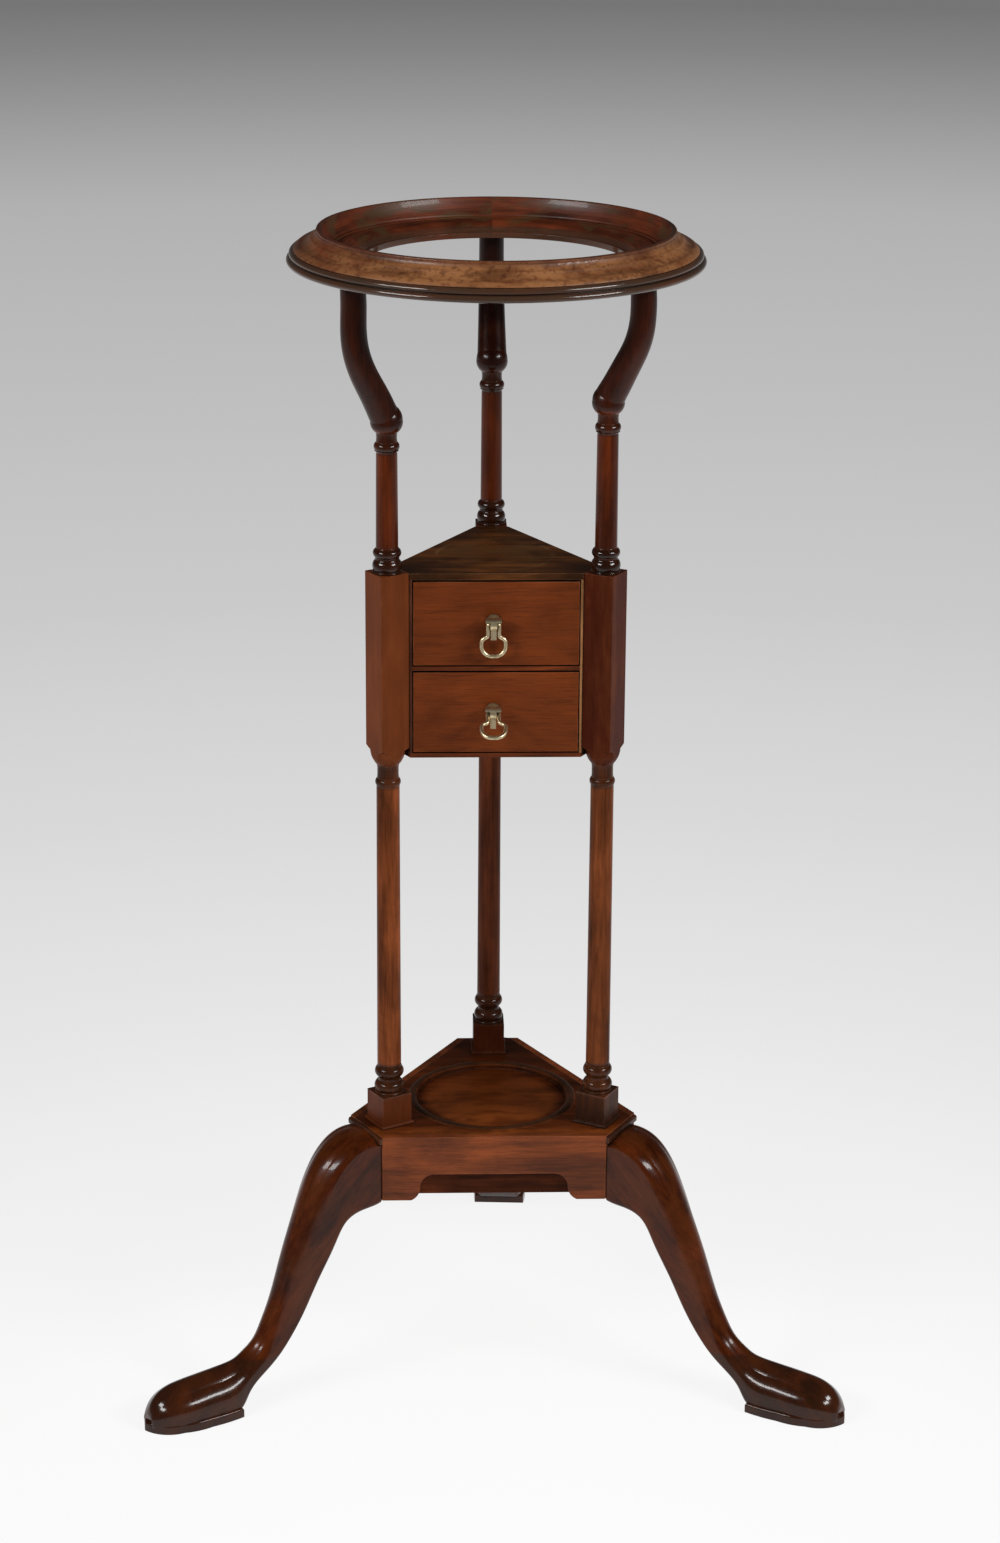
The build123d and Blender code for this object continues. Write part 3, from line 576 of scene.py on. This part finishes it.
def studio_floor():
    mesh = bpy.data.meshes.new("floor")
    drawn = bmesh.new()
    bmesh.ops.create_circle(drawn, cap_ends=True, segments=floor_segments, radius=floor_radius)
    drawn.to_mesh(mesh)
    drawn.free()
    floor = bpy.data.objects.new("floor", mesh)
    floor.location.z = -floor_drop
    mesh.materials.append(floor_material())
    bpy.context.scene.collection.objects.link(floor)


def studio_world():
    """An even fill light, and what the camera and the polished faces see past the floor."""
    world = bpy.data.worlds.new("studio")
    bpy.context.scene.world = world
    world.use_nodes = True
    made, links = world.node_tree.nodes, world.node_tree.links
    made.clear()
    path = made.new("ShaderNodeLightPath")
    either = made.new("ShaderNodeMath")
    either.operation = "MAXIMUM"
    links.new(path.outputs["Is Camera Ray"], either.inputs[0])
    links.new(path.outputs["Is Glossy Ray"], either.inputs[1])
    fill = made.new("ShaderNodeBackground")
    fill.inputs[0].default_value = (1, 1, 1, 1)
    fill.inputs[1].default_value = fill_strength
    shown = made.new("ShaderNodeBackground")
    way = made.new("ShaderNodeSeparateXYZ")
    links.new(made.new("ShaderNodeTexCoord").outputs["Generated"], way.inputs[0])
    fall = made.new("ShaderNodeValToRGB")
    levels = ((0.0, 0.17), (0.08, 0.10), (0.25, 0.035), (1.0, 0.02))
    fill_ramp(fall.color_ramp, [(height, grey(level)) for height, level in levels])
    links.new(way.outputs[2], fall.inputs[0])
    links.new(fall.outputs[0], shown.inputs[0])
    blend = made.new("ShaderNodeMixShader")
    links.new(either.outputs[0], blend.inputs[0])
    links.new(fill.outputs[0], blend.inputs[1])
    links.new(shown.outputs[0], blend.inputs[2])
    links.new(blend.outputs[0], made.new("ShaderNodeOutputWorld").inputs[0])


def lamp(name, side, power):
    """A lamp in front of the stand, to its left or right, aimed a little above its middle."""
    data = bpy.data.lights.new(name, "AREA")
    data.shape = "RECTANGLE"
    data.size, data.size_y = lamp_size
    data.energy = power
    made = bpy.data.objects.new(name, data)
    place = Vector((side * lamp_aside, lamp_ahead, lamp_height))
    made.location = place
    made.rotation_euler = (place - Vector(lamp_aim)).to_track_quat("Z", "Y").to_euler()
    bpy.context.scene.collection.objects.link(made)


studio_floor()
studio_world()
lamp("lamp_left", -1, 40)
lamp("lamp_right", 1, 45)
bpy.context.scene.view_settings.view_transform = "Standard"
